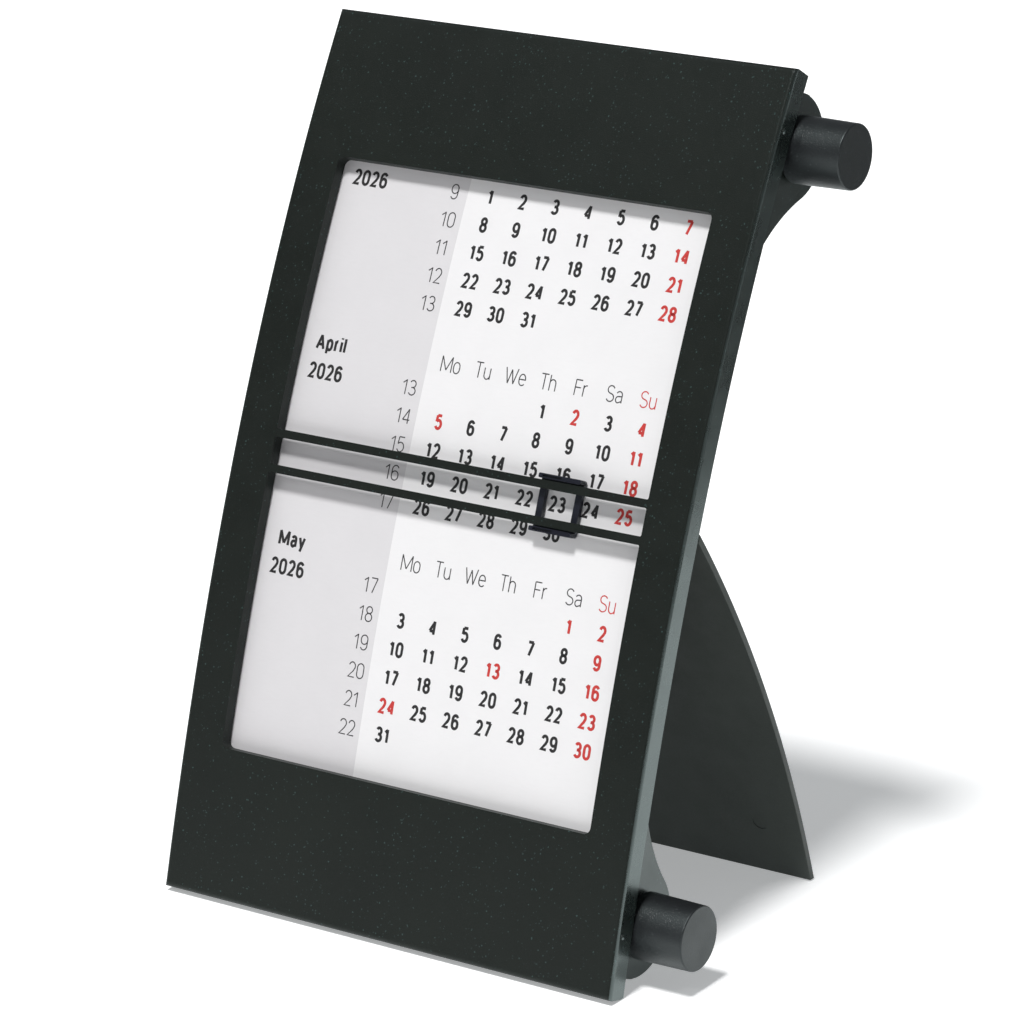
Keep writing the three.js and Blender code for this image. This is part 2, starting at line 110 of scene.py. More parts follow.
FOOT_Y = box_mm("front_frame")[0].y
CENTRE_X = box_mm("front_frame")[0].x + HALF
UPPER_AXIS, LOWER_AXIS = centre_mm("upper_spindle").yz, centre_mm("lower_spindle").yz
HINGE_AXIS = centre_mm("hinge_pin_left").yz
MARKER_X = centre_mm("date_marker").x - CENTRE_X
KNOB_FROM, KNOB_TO = (end.x - CENTRE_X for end in box_mm("upper_knob"))
KNOB_RADIUS = (box_mm("upper_knob")[1].z - box_mm("upper_knob")[0].z) / 2


# ---- The curved front --------------------------------------------------------------------------

def lean(s):
    t = s / HEIGHT
    share = (1 - LEAN_BIAS) * t + LEAN_BIAS * t * t
    return np.radians(LEAN_AT_FOOT + (LEAN_AT_CREST - LEAN_AT_FOOT) * share)


STATION_STEP = 0.05
STATIONS = np.arange(-12, HEIGHT + 12, STATION_STEP)
LEANS = lean(STATIONS + STATION_STEP / 2)


def summed(rates, start):
    """Running sum along the stations, equal to start at height 0."""
    total = np.concatenate([[0], np.cumsum(rates[:-1] * STATION_STEP)])
    return total - np.interp(0, STATIONS, total) + start


FRONT_Y = summed(np.sin(LEANS), FOOT_Y)
FRONT_Z = summed(np.cos(LEANS), DEPTH * math.sin(lean(0)) - FOOT_LAND_CUT)
FRONT_Z_AT_FOOT = float(np.interp(0, STATIONS, FRONT_Z))


def place(s, depth):
    """[y, z] of the point at height s and that depth behind the front surface."""
    s = np.asarray(s, float)
    y = np.interp(s, STATIONS, FRONT_Y) + depth * np.cos(lean(s))
    z = np.interp(s, STATIONS, FRONT_Z) - depth * np.sin(lean(s))
    return np.stack([y, z], -1)


def depth_way(s):
    return np.array([math.cos(lean(s)), -math.sin(lean(s))])


def height_way(s):
    return np.array([math.sin(lean(s)), math.cos(lean(s))])


# ---- Mesh building -----------------------------------------------------------------------------

def mesh_object(name, vertices, faces):
    mesh = bpy.data.meshes.new(name)
    mesh.from_pydata([tuple(map(float, v)) for v in vertices], [], faces)
    bm = bmesh.new()
    bm.from_mesh(mesh)
    bmesh.ops.recalc_face_normals(bm, faces=bm.faces)
    bm.to_mesh(mesh)
    bm.free()
    obj = bpy.data.objects.new(name, mesh)
    bpy.context.scene.collection.objects.link(obj)
    return obj


def edit(obj, work):
    """Runs work(bmesh) on the object's mesh."""
    bm = bmesh.new()
    bm.from_mesh(obj.data)
    work(bm)
    bm.to_mesh(obj.data)
    bm.free()
    return obj


def prism(name, outline, low, high, along="x"):
    """A closed outline carried straight along one axis: x for [depth or y, height or z] points,
    depth for [x, height] points."""
    def corner(point, value):
        a, b = point
        return (value, a, b) if along == "x" else (a, value, b)
    n = len(outline)
    vertices = [corner(p, value) for value in (low, high) for p in outline]
    sides = [(i, (i + 1) % n, n + (i + 1) % n, n + i) for i in range(n)]
    return mesh_object(name, vertices, [tuple(range(n)), tuple(range(n, 2 * n)), *sides])


def block(x0, x1, d0, d1, s0, s1, name="block"):
    return prism(name, [(d0, s0), (d1, s0), (d1, s1), (d0, s1)], x0, x1)


def arc(centre, radius, start, stop, steps):
    """Points of an arc in degrees, both ends included."""
    angles = np.radians(np.linspace(start, stop, steps + 1))
    return [(centre[0] + radius * math.cos(a), centre[1] + radius * math.sin(a)) for a in angles]


def rounded_rectangle(a0, a1, b0, b1, radius, steps=6):
    corners = [(a1 - radius, b0 + radius, -90), (a1 - radius, b1 - radius, 0),
               (a0 + radius, b1 - radius, 90), (a0 + radius, b0 + radius, 180)]
    return [p for a, b, turn in corners for p in arc((a, b), radius, turn, turn + 90, steps)]


def turned(name, profile, axis, segments=72):
    """A profile of [x, radius] corners spun about an axis along x through [y, z]."""
    rings = [p for p in profile if p[1] > 0]
    vertices = [
        (x, axis[0] + r * math.cos(turn), axis[1] + r * math.sin(turn))
        for x, r in rings for turn in np.linspace(0, math.tau, segments, endpoint=False)
    ]
    closed = profile[0][1] > 0 and profile[-1][1] > 0
    faces = []
    for i in range(len(rings) if closed else len(rings) - 1):
        here, there = i * segments, ((i + 1) % len(rings)) * segments
        for k in range(segments):
            k2 = (k + 1) % segments
            faces.append((here + k, here + k2, there + k2, there + k))
    if not closed:
        last = (len(rings) - 1) * segments
        faces += [tuple(range(segments)), tuple(range(last, last + segments))]
    return mesh_object(name, vertices, faces)


def rod(axis, radius, x0, x1, segments=48, name="rod"):
    return turned(name, [(x0, 0), (x0, radius), (x1, radius), (x1, 0)], axis, segments)


def applied(obj):
    """Replaces the object's mesh by what its modifiers make of it."""
    bpy.context.view_layer.update()
    evaluated = obj.evaluated_get(bpy.context.evaluated_depsgraph_get())
    made = bpy.data.meshes.new_from_object(evaluated)
    obj.modifiers.clear()
    obj.data = made
    return obj


def combine(body, tools, operation):
    for tool in tools:
        modifier = body.modifiers.new(operation, "BOOLEAN")
        modifier.operation = operation
        modifier.solver = "EXACT"
        modifier.object = tool
        applied(body)
        bpy.data.objects.remove(tool)
    return body


def cut(body, *tools):
    return combine(body, tools, "DIFFERENCE")


def join(body, *tools):
    return combine(body, tools, "UNION")


def soften(obj, width, segments=2, chosen=lambda edge: True, sharper=40):
    """Rounds the outward edges sharper than that angle which chosen() picks."""
    def work(bm):
        bmesh.ops.remove_doubles(bm, verts=bm.verts, dist=1e-4)
        bmesh.ops.dissolve_limit(bm, angle_limit=math.radians(0.05), verts=bm.verts, edges=bm.edges)
        edges = [
            e for e in bm.edges
            if len(e.link_faces) == 2 and e.is_convex
            and e.calc_face_angle() > math.radians(sharper) and chosen(e)
        ]
        bmesh.ops.bevel(
            bm, geom=edges, offset=width, offset_type="OFFSET", segments=segments,
            profile=0.5, affect="EDGES", clamp_overlap=True,
        )
    return edit(obj, work)


def bend(obj):
    """Slices a flat pattern into short facets and wraps it onto the curved front."""
    def work(bm):
        top = max(v.co.z for v in bm.verts)
        for s in np.arange(math.ceil(min(v.co.z for v in bm.verts)) + FACET / 2, top, FACET):
            bmesh.ops.bisect_plane(
                bm, geom=[*bm.verts, *bm.edges, *bm.faces],
                plane_co=(0, 0, s), plane_no=(0, 0, 1),
            )
        for v in bm.verts:
            y, z = place(v.co.z, v.co.y)
            v.co = (v.co.x + CENTRE_X, y, z)
    return edit(obj, work)


def across(obj):
    """Moves a piece made about the frame's middle to its place across the row frame."""
    obj.data.transform(Matrix.Translation((CENTRE_X, 0, 0)))
    return obj


def settle(obj, body, node, materials, smooth=35):
    """Scales the finished piece to metres, smooths it and hands it to the frame."""
    obj.data.transform(Matrix.Scale(MM, 4))
    for material in materials:
        obj.data.materials.append(material)
    for polygon in obj.data.polygons:
        polygon.material_index = min(polygon.material_index, len(materials) - 1)
    obj.data.shade_smooth()
    obj.data.set_sharp_from_angle(angle=math.radians(smooth))
    weighted = obj.modifiers.new("weighted_normals", "WEIGHTED_NORMAL")
    weighted.keep_sharp = True
    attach(obj, body)
    if node:
        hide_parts(node)
    return obj


# ---- Materials ---------------------------------------------------------------------------------

class Shader:
    """A small hand for wiring one procedural material."""

    def __init__(self, name, colour, roughness, **sockets):
        self.material = bpy.data.materials.new(name)
        self.material.use_nodes = True
        self.tree = self.material.node_tree
        self.surface = self.tree.nodes["Principled BSDF"]
        self.place = self.node("ShaderNodeTexCoord").outputs["Object"]
        self.set("Base Color", (*colour, 1))
        self.set("Roughness", roughness)
        for socket, value in sockets.items():
            self.set(socket.replace("_", " "), value)

    def node(self, kind, **settings):
        made = self.tree.nodes.new(kind)
        for key, value in settings.items():
            setattr(made, key, value)
        return made

    def set(self, socket, value):
        self.surface.inputs[socket].default_value = value

    def link(self, output, target):
        self.tree.links.new(output, target)

    def noise(self, size_mm, detail=3, stretch=(1, 1, 1)):
        """Noise with features of about that size; stretch lengthens them along x, y or z."""
        mapping = self.node("ShaderNodeMapping")
        mapping.inputs["Scale"].default_value = tuple(1 / (size_mm * MM * s) for s in stretch)
        noise = self.node("ShaderNodeTexNoise")
        noise.inputs["Scale"].default_value = 1
        noise.inputs["Detail"].default_value = detail
        self.link(self.place, mapping.inputs["Vector"])
        self.link(mapping.outputs["Vector"], noise.inputs["Vector"])
        return noise.outputs["Fac"]

    def cells(self, size_mm):
        """Random colour of small cells of that size."""
        voronoi = self.node("ShaderNodeTexVoronoi")
        voronoi.inputs["Scale"].default_value = 1 / (size_mm * MM)
        self.link(self.place, voronoi.inputs["Vector"])
        return voronoi.outputs["Color"]

    def ramp(self, value, stops):
        """Colour ramp through [position, colour] stops; a plain number is a grey."""
        ramp = self.node("ShaderNodeValToRGB")
        elements = ramp.color_ramp.elements
        while len(elements) < len(stops):
            elements.new(0.5)
        for element, (position, colour) in zip(elements, stops):
            element.position = position
            element.color = (colour,) * 3 + (1,) if isinstance(colour, (int, float)) else (*colour, 1)
        self.link(value, ramp.inputs["Fac"])
        return ramp.outputs["Color"]

    def blend(self, share, first, second, mode="MIX"):
        mix = self.node("ShaderNodeMix", data_type="RGBA", blend_type=mode)
        self.link(share, mix.inputs["Factor"])
        for value, socket in ((first, mix.inputs["A"]), (second, mix.inputs["B"])):
            if isinstance(value, tuple):
                socket.default_value = (*value, 1)
            else:
                self.link(value, socket)
        return mix.outputs["Result"]

    def bump(self, *layers, socket="Normal"):
        """Stacked bumps, each [height, depth in mm]."""
        normal = None
        for height, depth_mm in layers:
            bump = self.node("ShaderNodeBump")
            bump.inputs["Strength"].default_value = 1
            bump.inputs["Distance"].default_value = depth_mm * MM
            self.link(height, bump.inputs["Height"])
            if normal:
                self.link(normal, bump.inputs["Normal"])
            normal = bump.outputs["Normal"]
        self.link(normal, self.surface.inputs[socket])

    def colour(self, output):
        self.link(output, self.surface.inputs["Base Color"])

    def roughness(self, output):
        self.link(output, self.surface.inputs["Roughness"])


def shade(colour, factor):
    return tuple(channel * factor for channel in colour)


def moulded_plastic(name, colour, roughness, grain_mm, grain_depth, painted_glint=None, glint=0, **sockets):
    """Moulded plastic: spark-eroded grain, slow drifts of tone, uneven gloss, and fine bright specks
    painted into the colour as painted glints.
    glint is the share of a sharper, tinted skin whose grain catches a lamp as tiny sparks."""
    made = Shader(name, colour, roughness, **sockets)
    made.set("Specular Tint", (0.88, 1, 0.99, 1))
    drift = made.noise(22, 4)
    tone = made.ramp(drift, [(0.3, shade(colour, 0.82)), (0.7, shade(colour, 1.2))])
    grain = made.noise(grain_mm, 2)
    tone = made.blend(made.ramp(grain, [(0.35, 0.0), (0.75, 0.5)]), tone, shade(colour, 1.7))
    # painted glints: a few random cells take the brighter speck colour, which stands in for sparkle
    if painted_glint:
        painted_glint_flecks = made.ramp(made.cells(grain_mm * 1.1), [(0.88, 0.0), (0.95, 1.0)])
        tone = made.blend(painted_glint_flecks, tone, painted_glint)
    made.colour(tone)
    gloss = made.noise(6, 3)
    low, high = roughness - 0.05, roughness + 0.06
    made.roughness(made.ramp(gloss, [(0.3, low), (0.7, high)]))
    made.bump((made.noise(14, 2), 0.012), (grain, grain_depth))
    if glint:
        made.set("Coat Weight", glint)
        made.set("Coat Roughness", 0.16)
        made.set("Coat Tint", (0.75, 1, 0.98, 1))
        made.bump((made.noise(grain_mm, 1), 4 * grain_depth), socket="Coat Normal")
    return made.material


def paper(name, colour, roughness=0.86):
    """Coated paper: faint cloudy formation, fibres and a very light cockle."""
    made = Shader(name, colour, roughness)
    cloud = made.ramp(made.noise(9, 4), [(0.3, shade(colour, 0.975)), (0.7, colour)])
    fibre = made.noise(0.5, 3, stretch=(4, 1, 1))
    made.colour(made.blend(made.ramp(fibre, [(0.45, 0.0), (0.8, 0.35)]), cloud, shade(colour, 0.95)))
    made.roughness(made.ramp(fibre, [(0.3, roughness - 0.06), (0.7, roughness + 0.05)]))
    made.bump((made.noise(30, 1), 0.05), (fibre, 0.006))
    return made.material


def ink(name, colour):
    """Printing ink, slightly mottled where the paper takes it unevenly."""
    made = Shader(name, colour, 0.6)
    mottle = made.noise(0.35, 2)
    made.colour(made.ramp(mottle, [(0.25, shade(colour, 0.85)), (0.75, shade(colour, 1.18))]))
    made.roughness(made.ramp(mottle, [(0.3, 0.55), (0.7, 0.68)]))
    made.bump((mottle, 0.002))
    return made.material


def drawn_steel(name, colour):
    """Drawn wire: fine lines along the pin."""
    made = Shader(name, colour, 0.28, Metallic=1)
    lines = made.noise(0.12, 2, stretch=(40, 1, 1))
    made.colour(made.ramp(lines, [(0.3, shade(colour, 0.8)), (0.7, colour)]))
    made.roughness(made.ramp(lines, [(0.3, 0.22), (0.7, 0.38)]))
    made.bump((lines, 0.003))
    return made.material


def felt(name, colour):
    """Pressed felt: matted fibres with a soft sheen."""
    made = Shader(name, colour, 0.95, Sheen_Weight=0.4, Sheen_Roughness=0.5)
    fibres = made.noise(0.35, 5, stretch=(1, 2.5, 1))
    made.colour(made.ramp(fibres, [(0.3, shade(colour, 0.6)), (0.7, shade(colour, 1.25))]))
    made.bump((fibres, 0.12))
    return made.material


HOUSING_GREEN = (0.0054, 0.0065, 0.0049)
# colour of the bright specks painted into the housing plastics as glints
TEAL_PAINTED_GLINT = (0.03, 0.052, 0.05)
LOOKS = {
    "front": moulded_plastic(
        "textured_housing", HOUSING_GREEN, 0.5, 0.24, 0.02, TEAL_PAINTED_GLINT, glint=0.12,
        Specular_IOR_Level=0.25),
    "side": moulded_plastic(
        "satin_housing", HOUSING_GREEN, 0.28, 0.3, 0.004, TEAL_PAINTED_GLINT, glint=0.35,
        Specular_IOR_Level=1, IOR=1.58),
    "shell": moulded_plastic(
        "shell_housing", HOUSING_GREEN, 0.36, 0.28, 0.008, TEAL_PAINTED_GLINT, glint=0.2,
        Specular_IOR_Level=0.9),
    "leg": moulded_plastic("leg_plastic", (0.02, 0.024, 0.02), 0.45, 0.34, 0.008),
    # the knob's grey specks are painted glints as well
    "knob": moulded_plastic(
        "knob_plastic", (0.0105, 0.0105, 0.012), 0.44, 0.3, 0.03, (0.03, 0.03, 0.033), glint=0.15),
    "marker": moulded_plastic("marker_plastic", (0.009, 0.009, 0.016), 0.33, 0.4, 0.004),
    "spindle": moulded_plastic("spindle_plastic", (0.03, 0.03, 0.034), 0.45, 0.3, 0.006),
    "core": moulded_plastic("core_plastic", (0.62, 0.62, 0.58), 0.5, 0.4, 0.006),
    "white_paper": paper("white_paper", (0.79, 0.78, 0.785)),
    "grey_paper": paper("grey_paper", (0.665, 0.65, 0.662)),
    "wound_paper": paper("wound_paper", (0.8, 0.8, 0.79)),
    "black_ink": ink("black_ink", (0.013, 0.012, 0.013)),
    "grey_ink": ink("grey_ink", (0.03, 0.028, 0.03)),
    "red_ink": ink("red_ink", (0.52, 0.032, 0.028)),
    "steel": drawn_steel("steel_pin", (0.62, 0.62, 0.64)),
    "felt": felt("felt_washer", (0.1, 0.1, 0.11)),
}


# ---- Front frame -------------------------------------------------------------------------------

def near(value, target, margin=0.02):
    return abs(value - target) < margin


def on_crest(edge):
    """The two long edges where the front surface meets the sides."""
    return all(near(abs(v.co.x), HALF) and near(v.co.y, 0) for v in edge.verts)


def window_openings():
    """Cutting tools for the window above the rails, the slot between them and the window below."""
    w, h = WINDOW_WIDTH / 2, WINDOW_HEIGHT / 2
    outer, inner = (RAIL_PITCH + RAIL_HEIGHT) / 2, (RAIL_PITCH - RAIL_HEIGHT) / 2
    spans = [(-h, -outer), (-inner, inner), (outer, h)]
    openings = []
    for low, high in spans:
        outline = rounded_rectangle(-w, w, MIDDLE_S + low, MIDDLE_S + high, RAIL_CORNER)
        opening = prism("opening", outline, -OVERCUT, DEPTH + OVERCUT, along="depth")
        outline = rounded_rectangle(-w, w, MIDDLE_S - h, MIDDLE_S + h, WINDOW_RADIUS)
        rim = prism("rim", outline, -2 * OVERCUT, DEPTH + 2 * OVERCUT, along="depth")
        openings.append(combine(opening, [rim], "INTERSECT"))
    return openings


def front_frame():
    foot = (DEPTH * math.sin(lean(0)) - FRONT_Z_AT_FOOT) / math.cos(lean(0))
    land = FRONT_Z_AT_FOOT / math.sin(lean(0))
    outline = [(0, 0), (land, 0), (DEPTH, foot), (DEPTH, HEIGHT), (0, HEIGHT)]
    body = prism("front_frame_skin", outline, -HALF, HALF)
    soften(body, CREST_RADIUS, 5, on_crest)
    reveal = WINDOW_WIDTH / 2 + REVEAL, WINDOW_HEIGHT / 2 + REVEAL
    hollow = block(-SIDE, SIDE, PLATE, DEPTH + OVERCUT, WALL, HEIGHT - WALL)
    collar = block(-reveal[0], reveal[0], 0, REVEAL_DEPTH,
                   MIDDLE_S - reveal[1], MIDDLE_S + reveal[1])
    cut(hollow, collar)
    behind = RAIL_PITCH / 2 + RAIL_HEIGHT
    rail_backs = block(-WINDOW_WIDTH / 2, WINDOW_WIDTH / 2, RAIL_BACK, DEPTH + OVERCUT,
                       MIDDLE_S - behind, MIDDLE_S + behind)
    cut(body, hollow, rail_backs, *window_openings())
    soften(body, MOULD_EDGE)
    for s in (NUB_FROM_END, HEIGHT - NUB_FROM_END):
        join(body, nub(s))
    bend(body)
    give_sides_satin(body)
    return settle(body, "body", "front_frame", [LOOKS["front"], LOOKS["side"]])


def nub(s):
    """Small domed stud on the right side wall, at height s."""
    sunk = 0.2 * NUB_RADIUS
    dome = [(HALF - sunk + a, b) for a, b in arc((0, 0), NUB_RADIUS, 90, 0, 6)]
    profile = [(HALF - NUB_RADIUS, 0), (HALF - NUB_RADIUS, NUB_RADIUS), *dome[:-1],
               (HALF - sunk + NUB_RADIUS, 0)]
    return turned("nub", profile, (NUB_DEPTH, s), 24)


def give_sides_satin(obj):
    """Gives the frame's left and right outer faces the satin finish, which is material 1."""
    for polygon in obj.data.polygons:
        outward = abs(polygon.normal.x) > 0.5 and abs(polygon.center.x - CENTRE_X) > HALF - 1
        polygon.material_index = 1 if outward else 0


# ---- Back shell --------------------------------------------------------------------------------

def housing_curve(axis, s0, side):
    """Side view of one roller housing and of the hollow fillet that leads to the flat wall, from
    the frame's end towards its middle; side is 1 where the middle lies up along the front."""
    axis = np.array(axis)
    n, t = depth_way(s0), side * height_way(s0)
    reach = HOUSING_RADIUS + HOUSING_FILLET
    heights = s0 + side * np.arange(*FILLET_SEARCH)
    centres = place(heights, DEPTH + HOUSING_FILLET)
    best = int(np.argmin(abs(np.linalg.norm(centres - axis, axis=1) - reach)))
    centre, fillet_s = centres[best], heights[best]
    towards = (centre - axis) / reach
    start = -math.pi / 2 - math.asin((ROLLER_DEPTH - DEPTH) / HOUSING_RADIUS)
    stop = math.atan2(towards @ t, towards @ n)
    round_part = [axis + HOUSING_RADIUS * (math.cos(a) * n + math.sin(a) * t)
                  for a in np.linspace(start, stop, 56)]
    out, down = -towards, -depth_way(fillet_s)
    turn = math.acos(float(np.clip(out @ down, -1, 1)))
    hollow_part = []
    for share in np.linspace(0, 1, 22)[1:]:
        ray = (math.sin((1 - share) * turn) * out + math.sin(share * turn) * down) / math.sin(turn)
        hollow_part.append(centre + HOUSING_FILLET * ray)
    return round_part + hollow_part, fillet_s


def shell_profile():
    end = WALL + GAP
    lower, low_s = housing_curve(LOWER_AXIS, LOWER_S, 1)
    upper, high_s = housing_curve(UPPER_AXIS, UPPER_S, -1)
    wall = list(place(np.arange(low_s + FACET, high_s - FACET / 2, FACET), DEPTH))
    face = list(place(np.linspace(HEIGHT - end, end, round(HEIGHT / FACET)), WEB_FRONT + GAP))
    return [*face, place(end, DEPTH), *lower, *wall, *upper[::-1], place(HEIGHT - end, DEPTH)]


def on_ear_rim(edge):
    return all(near(abs(v.co.x), EAR_HALF) for v in edge.verts)


def hinge_lug(x):
    """One of the lugs that hold the hinge pins: a barrel standing on a web off the back wall."""
    s = hinge_height()
    angle = math.degrees(math.atan2(*height_way(s)[::-1]))
    barrel = arc(HINGE_AXIS, BARREL_RADIUS, angle, angle - 180, 20)
    heights = s - BARREL_RADIUS, s + BARREL_RADIUS + 1
    root = [tuple(place(height, WEB_FRONT + GAP)) for height in heights]
    lug = prism("lug", [*root, *barrel], x - LUG / 2, x + LUG / 2)
    return soften(lug, 0.25)


def hinge_height():
    """Height along the front at which the hinge axis lies."""
    points = place(STATIONS, 0)
    ahead = (HINGE_AXIS.x - points[:, 0]) * np.sin(lean(STATIONS)) + (
        HINGE_AXIS.y - points[:, 1]) * np.cos(lean(STATIONS))
    return float(STATIONS[int(np.argmin(abs(ahead)))])


def back_shell():
    end = WALL + GAP
    body = prism("back_shell_skin", [tuple(p) for p in shell_profile()], -EAR_HALF, EAR_HALF)
    soften(body, 0.35, 3, on_ear_rim, 60)
    across(body)
    join(body, bend(block(-SHELL_HALF, SHELL_HALF, WEB_FRONT, DEPTH - SLIVER, end, HEIGHT - end)))
    for axis in (LOWER_AXIS, UPPER_AXIS):
        for side in (-1, 1):
            ends = sorted((side * (CHEEK_INNER + 0.1), side * (EAR_HALF - SLIVER)))
            cheek = across(rod(axis, HOUSING_RADIUS - SLIVER, *ends, 96))
            front = bend(block(-HALF, HALF, PLATE + GAP, ROLLER_DEPTH, end, HEIGHT - end))
            join(body, combine(cheek, [front], "INTERSECT"))
        cut(body, across(rod(axis, HOUSING_RADIUS - HOUSING_WALL, -CHEEK_INNER, CHEEK_INNER, 72)))
        cut(body, across(rod(axis, JOURNAL_RADIUS + GAP, CHEEK_INNER - 1, HALF + 1)))
        root = -CHEEK_INNER - WALL / 2
        join(body, across(rod(axis, DRIVE_RADIUS, root, DRIVE_LENGTH - CHEEK_INNER)))
    for x in (-HINGE_SPACING, HINGE_SPACING):
        for side in (-1, 1):
            join(body, across(hinge_lug(x + side * (KNUCKLE / 2 + GAP + LUG / 2))))
    cut(body, across(rod(HINGE_AXIS, PIN_RADIUS + GAP, -HALF, HALF)))
    edit(body, lambda bm: bmesh.ops.remove_doubles(bm, verts=bm.verts, dist=SLIVER / 2))
    return settle(body, "body", "back_shell", [LOOKS["shell"]])


# ---- Stand leg ---------------------------------------------------------------------------------

LEG_ENDS = [Vector((y + FOOT_Y, z)) for y, z in (LEG_TOP, LEG_FOOT)]
LEG_CHORD = LEG_ENDS[1] - LEG_ENDS[0]
LEG_RADIUS = (LEG_CHORD.length_squared / 4 + LEG_SAGITTA ** 2) / (2 * LEG_SAGITTA)
LEG_OUTWARD = Vector((-LEG_CHORD.y, LEG_CHORD.x)).normalized()
LEG_CENTRE = (LEG_ENDS[0] + LEG_ENDS[1]) / 2 - LEG_OUTWARD * (LEG_RADIUS - LEG_SAGITTA)
LEG_TOP_ANGLE, LEG_FOOT_ANGLE = (math.atan2(*(end - LEG_CENTRE).yx) for end in LEG_ENDS)
LEG_LENGTH = (LEG_TOP_ANGLE - LEG_FOOT_ANGLE) * LEG_RADIUS


def on_leg(distance, inset):
    """Point at that distance from the leg's top, inset from its outer face."""
    angle = LEG_TOP_ANGLE - distance / LEG_RADIUS
    radius = LEG_RADIUS - inset
    return LEG_CENTRE.x + radius * math.cos(angle), LEG_CENTRE.y + radius * math.sin(angle)


def leg_outline(start, stop, thick):
    inset = (LEG_THICK - thick) / 2
    distances = np.linspace(start, stop, max(3, round((stop - start) / FACET)))
    outer = [on_leg(d, inset) for d in distances]
    inner = [on_leg(d, inset + thick) for d in distances[::-1]]
    return outer + inner


def stand_leg():
    clearance = BARREL_RADIUS + 2 * GAP
    room = KNUCKLE / 2 + GAP + LUG + 2 * GAP
    s = hinge_height()
    sheet = leg_outline(-HINGE_FROM_TOP, LEG_LENGTH + 2, LEG_THICK)
    body = across(prism("stand_leg_skin", sheet, -HALF, HALF))
    cut(body, bend(block(-HALF - 1, HALF + 1, -DEPTH, DEPTH + GAP, s - LEG_TRIM, s + LEG_TRIM)))
    cut(body, block(-WIDTH, WIDTH, -200, 200, -20, 0))
    for x in (-HINGE_SPACING, HINGE_SPACING):
        notch = leg_outline(-2 * HINGE_FROM_TOP, HINGE_FROM_TOP + clearance, 4 * LEG_THICK)
        cut(body, across(prism("notch", notch, x - room, x + room)))
    soften(body, MOULD_EDGE)
    for x in (-HINGE_SPACING, HINGE_SPACING):
        root = leg_outline(HINGE_FROM_TOP, HINGE_FROM_TOP + BARREL_RADIUS + 2, 2 * LEG_THICK - GAP)
        ends = x - KNUCKLE / 2, x + KNUCKLE / 2
        knuckle = join(prism("knuckle", root, *ends), rod(HINGE_AXIS, BARREL_RADIUS, *ends))
        soften(knuckle, 0.2)
        join(body, across(knuckle))
        cut(body, across(rod(HINGE_AXIS, PIN_RADIUS + GAP, x - KNUCKLE, x + KNUCKLE)))
        mark_x = math.copysign(HALF - EJECTOR_FROM_SIDE, x)
        cut(body, ejector_mark(mark_x, LEG_LENGTH - EJECTOR_FROM_FOOT))
    return settle(body, "leg", "stand_leg", [LOOKS["leg"]])


def ejector_mark(x, distance):
    """Shallow round mark that a mould's ejector pin leaves on the leg's inner face."""
    mark = prism("mark", arc((0, 0), EJECTOR_RADIUS, 0, 350, 35), -1, 1, along="depth")
    y, z = on_leg(distance, LEG_THICK + 1 - EJECTOR_DEPTH)
    outward = Vector((0, y - LEG_CENTRE.x, z - LEG_CENTRE.y)).normalized()
    turn = Vector((0, 1, 0)).rotation_difference(outward).to_matrix().to_4x4()
    mark.data.transform(Matrix.Translation((CENTRE_X + x, y, z)) @ turn)
    return mark


# ---- Date marker -------------------------------------------------------------------------------

def date_marker():
    """A small frame behind the two rails, hooked over the upper one and under the lower one."""
    rail_edge = (RAIL_PITCH + RAIL_HEIGHT) / 2 + GAP
    outer = rail_edge + MARKER_HOOK
    inner = (RAIL_PITCH - RAIL_HEIGHT) / 2 + GAP
    x0, x1 = MARKER_X - MARKER_WIDTH / 2, MARKER_X + MARKER_WIDTH / 2
    outline = rounded_rectangle(x0, x1, MIDDLE_S - outer, MIDDLE_S + outer, 0.5)
    hole = rounded_rectangle(
        x0 + MARKER_BAR, x1 - MARKER_BAR, MIDDLE_S - inner, MIDDLE_S + inner, 0.3)
    body = prism("date_marker_skin", outline, MARKER_FRONT, MARKER_BACK, along="depth")
    cut(body, prism("hole", hole, 0, 4, along="depth"))
    for low, high in ((rail_edge, outer), (-outer, -rail_edge)):
        hook = rounded_rectangle(x0, x1, MIDDLE_S + low, MIDDLE_S + high, 0.3)
        join(body, prism("hook", hook, MARKER_HOOK_FRONT, MARKER_FRONT + 0.3, along="depth"))
    soften(body, 0.12, 2)
    for low in (rail_edge, -outer):
        left, foot = x0 + SLOT_FROM_SIDE, MIDDLE_S + low + SLOT_RISE
        slot = rounded_rectangle(left, left + SLOT_LENGTH, foot, foot + SLOT_HEIGHT, 0.2)
        cut(body, prism("slot", slot, -1, MARKER_HOOK_FRONT + 0.4, along="depth"))
    bend(body)
    return settle(body, "marker", "date_marker", [LOOKS["marker"]])


# ---- Paper strip and its print -----------------------------------------------------------------

GREY_EDGE = -14.4                            # between the grey margin and the white days
INK_THICK = 0.012
COLUMN_PITCH, FIRST_COLUMN = 8.08, -8.7
WEEK_COLUMN, TITLE_COLUMN = -17.7, -39.3
ROW_PITCH = 5.99
DIGIT_HEIGHT, TITLE_HEIGHT = 3.35, 3.5


def paper_strip():
    half, back = STRIP_WIDTH / 2, STRIP_FRONT + STRIP_THICK
    body = block(-half, half, STRIP_FRONT, back, LOWER_S, UPPER_S, "paper_strip_skin")
    edit(body, lambda bm: bmesh.ops.bisect_plane(
        bm, geom=[*bm.verts, *bm.edges, *bm.faces], plane_co=(GREY_EDGE, 0, 0), plane_no=(1, 0, 0)))
    bend(body)
    for polygon in body.data.polygons:
        polygon.material_index = 1 if polygon.center.x - CENTRE_X < GREY_EDGE else 0
    return settle(body, "body", "paper_strip", [LOOKS["white_paper"], LOOKS["grey_paper"]])


def curve(cx, cy, rx, ry, start, stop):
    """Elliptical stroke from one angle to another, in degrees, of a pen with no width."""
    steps = max(6, round(abs(stop - start) / 15))
    angles = np.radians(np.linspace(start, stop, steps + 1))
    return [(cx + rx * math.cos(a), cy + ry * math.sin(a)) for a in angles]


